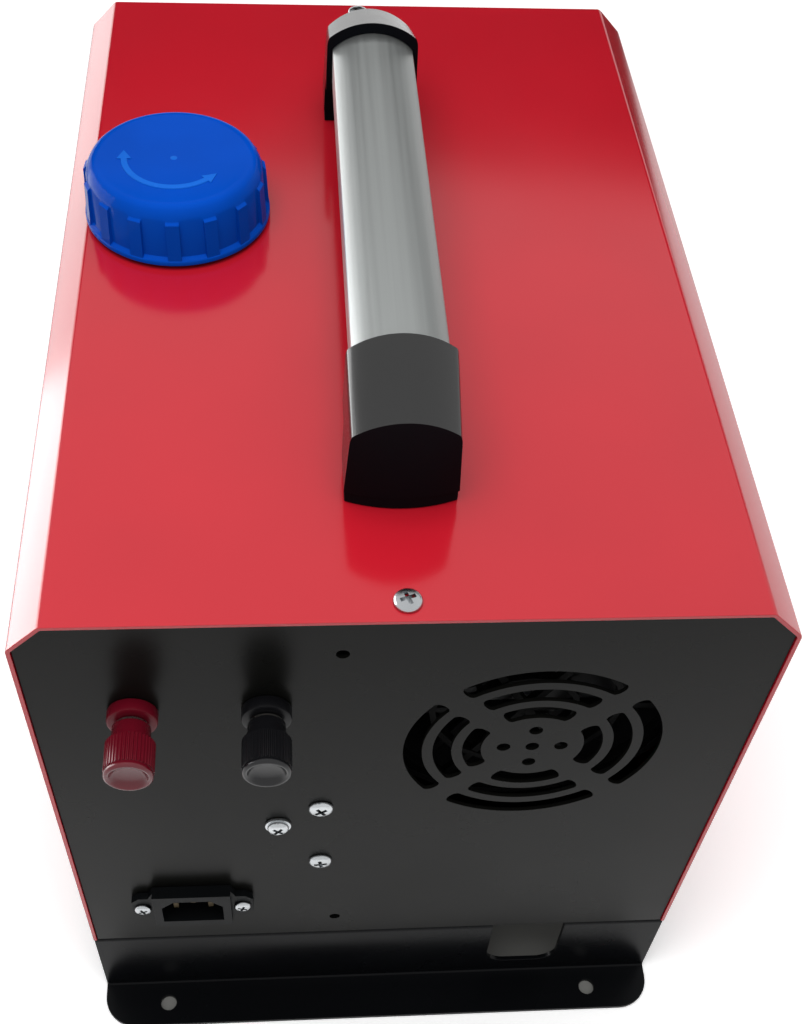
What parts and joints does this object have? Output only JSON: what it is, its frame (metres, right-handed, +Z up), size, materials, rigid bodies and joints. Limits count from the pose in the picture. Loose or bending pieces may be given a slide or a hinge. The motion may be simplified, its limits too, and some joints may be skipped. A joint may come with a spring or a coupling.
{
  "type": "diesel air heater",
  "caption": "Portable all-in-one diesel air heater: folded steel case with carry handle, fuel filler cap, air intake grille, mains inlet, DC binding posts, controller and hot-air outlet.",
  "frame": {"origin": "on the ground, under the middle of the case's width and of the overall length", "axes": "+Z up; -Y the end with the air grille, mains inlet and binding posts; +Y the hot-air end; +X the heater side, -X the fuel side"},
  "size_m": [0.247, 0.408, 0.3181],
  "materials": {
    "red_cover": "semi-gloss powder coat",
    "black_steel": "satin powder coat",
    "zinc_screw": "bright zinc plate",
    "zinc_sheet": "galvanised",
    "satin_tube": "satin anodised",
    "black_plastic": "fine grain",
    "tank_plastic": "natural polyethylene",
    "blue_plastic": "moulded, semi-gloss",
    "red_plastic": "moulded, semi-gloss",
    "post_black": "moulded, semi-gloss",
    "button_red": "moulded, semi-gloss",
    "window_tint": "smoked and polished",
    "seal_rubber": "moulded nitrile",
    "line_plastic": "drawn nylon",
    "post_metal": "nickel plated",
    "brass_metal": "turned",
    "pump_steel": "turned",
    "motor_steel": "turned",
    "cast_aluminium": "die cast",
    "pipe_steel": "drawn stainless",
    "pipe_plastic": "moulded",
    "supply_case": "folded sheet",
    "board_green": "solder-resist lacquer"
  },
  "bodies": {
    "frame": {"air_pipe": "pipe_plastic", "base_floor": "black_steel", "black_post_collar": "post_black", "black_post_stud": "post_metal", "burner_tube": "motor_steel", "control_board": "board_green", "controller_housing": "black_plastic", "controller_window": "window_tint", "cover": "red_cover", "cover_screw_front": "zinc_screw", "cover_screw_rear": "zinc_screw", "divider": "zinc_sheet", "earth_bolt": "zinc_screw", "exhaust_pipe": "pipe_steel", "front_foot": "black_steel", "front_panel": "black_steel", "fuel_line": "line_plastic", "fuel_tank": "tank_plastic", "glow_plug": "motor_steel", "handle_leg_front": "black_plastic", "handle_leg_rear": "black_plastic", "handle_tube": "satin_tube", "heat_exchanger": "cast_aluminium", "heater_case_lower": "black_plastic", "heater_case_upper": "black_plastic", "heater_cradle": "zinc_sheet", "inlet_body": "black_plastic", "inlet_pin_earth": "brass_metal", "inlet_pin_live": "brass_metal", "inlet_pin_neutral": "brass_metal", "inlet_screw_left": "zinc_screw", "inlet_screw_right": "zinc_screw", "intake_guard": "black_plastic", "motor": "motor_steel", "neck_gasket": "seal_rubber", "outlet_grille": "black_plastic", "power_supply": "supply_case", "pump_body": "pump_steel", "pump_bracket": "seal_rubber", "pump_screw_lower": "zinc_screw", "pump_screw_upper": "zinc_screw", "rear_foot": "black_steel", "rear_panel": "black_steel", "red_post_collar": "red_plastic", "red_post_stud": "post_metal", "suction_hose": "seal_rubber", "tank_outlet": "brass_metal"},
    "cap_lifter": {"cap_seal": "seal_rubber"},
    "cap": {"filler_cap": "blue_plastic"},
    "red_washer": {"red_post_washer": "post_metal"},
    "red_knob": {"red_post_knob": "red_plastic"},
    "black_washer": {"black_post_washer": "post_metal"},
    "black_knob": {"black_post_knob": "post_black"},
    "rotor": {"motor_shaft": "motor_steel", "blower_wheel": "black_plastic", "combustion_wheel": "cast_aluminium"},
    "plunger": {"pump_plunger": "pump_steel"},
    "power_button": {"power_button": "button_red"},
    "up_button": {"up_button": "black_plastic"},
    "down_button": {"down_button": "black_plastic"}
  },
  "joints": [
    {"name": "cap_lift", "type": "slide", "parent": "frame", "child": "cap_lifter", "axis": [0, 0, 1], "range_m": [0, 0.0121]},
    {"name": "cap_turn", "type": "hinge", "parent": "cap_lifter", "child": "cap", "pos_m": [-0.0776, 0.0216, 0.295], "axis": [0, 0, 1], "range_deg": [0, 1080]},
    {"name": "red_travel", "type": "slide", "parent": "frame", "child": "red_washer", "axis": [0, -1, 0], "range_m": [0, 0.0043]},
    {"name": "red_turn", "type": "hinge", "parent": "red_washer", "child": "red_knob", "pos_m": [-0.0889, -0.19, 0.2234], "axis": [0, -1, 0], "range_deg": [0, 2160]},
    {"name": "black_travel", "type": "slide", "parent": "frame", "child": "black_washer", "axis": [0, -1, 0], "range_m": [0, 0.0043]},
    {"name": "black_turn", "type": "hinge", "parent": "black_washer", "child": "black_knob", "pos_m": [-0.0456, -0.19, 0.2234], "axis": [0, -1, 0], "range_deg": [0, 2160]},
    {"name": "rotor_spin", "type": "hinge", "parent": "frame", "child": "rotor", "pos_m": [0.0458, -0.11, 0.196], "axis": [0, 1, 0], "continuous": true},
    {"name": "plunger_stroke", "type": "slide", "parent": "frame", "child": "plunger", "axis": [0, 0, 1], "range_m": [0, 0.004], "stiffness_N_per_m": 200},
    {"name": "power_button_push", "type": "slide", "parent": "frame", "child": "power_button", "axis": [0, -1, 0], "range_m": [0, 0.001], "stiffness_N_per_m": 400},
    {"name": "up_button_push", "type": "slide", "parent": "frame", "child": "up_button", "axis": [0, -1, 0], "range_m": [0, 0.001], "stiffness_N_per_m": 400},
    {"name": "down_button_push", "type": "slide", "parent": "frame", "child": "down_button", "axis": [0, -1, 0], "range_m": [0, 0.001], "stiffness_N_per_m": 400}
  ],
  "couplings": [
    {"joint": "cap_lift", "follows": "cap_turn", "m_per_rad": 0.00063662},
    {"joint": "red_travel", "follows": "red_turn", "m_per_rad": 0.00011141},
    {"joint": "black_travel", "follows": "black_turn", "m_per_rad": 0.00011141}
  ]
}
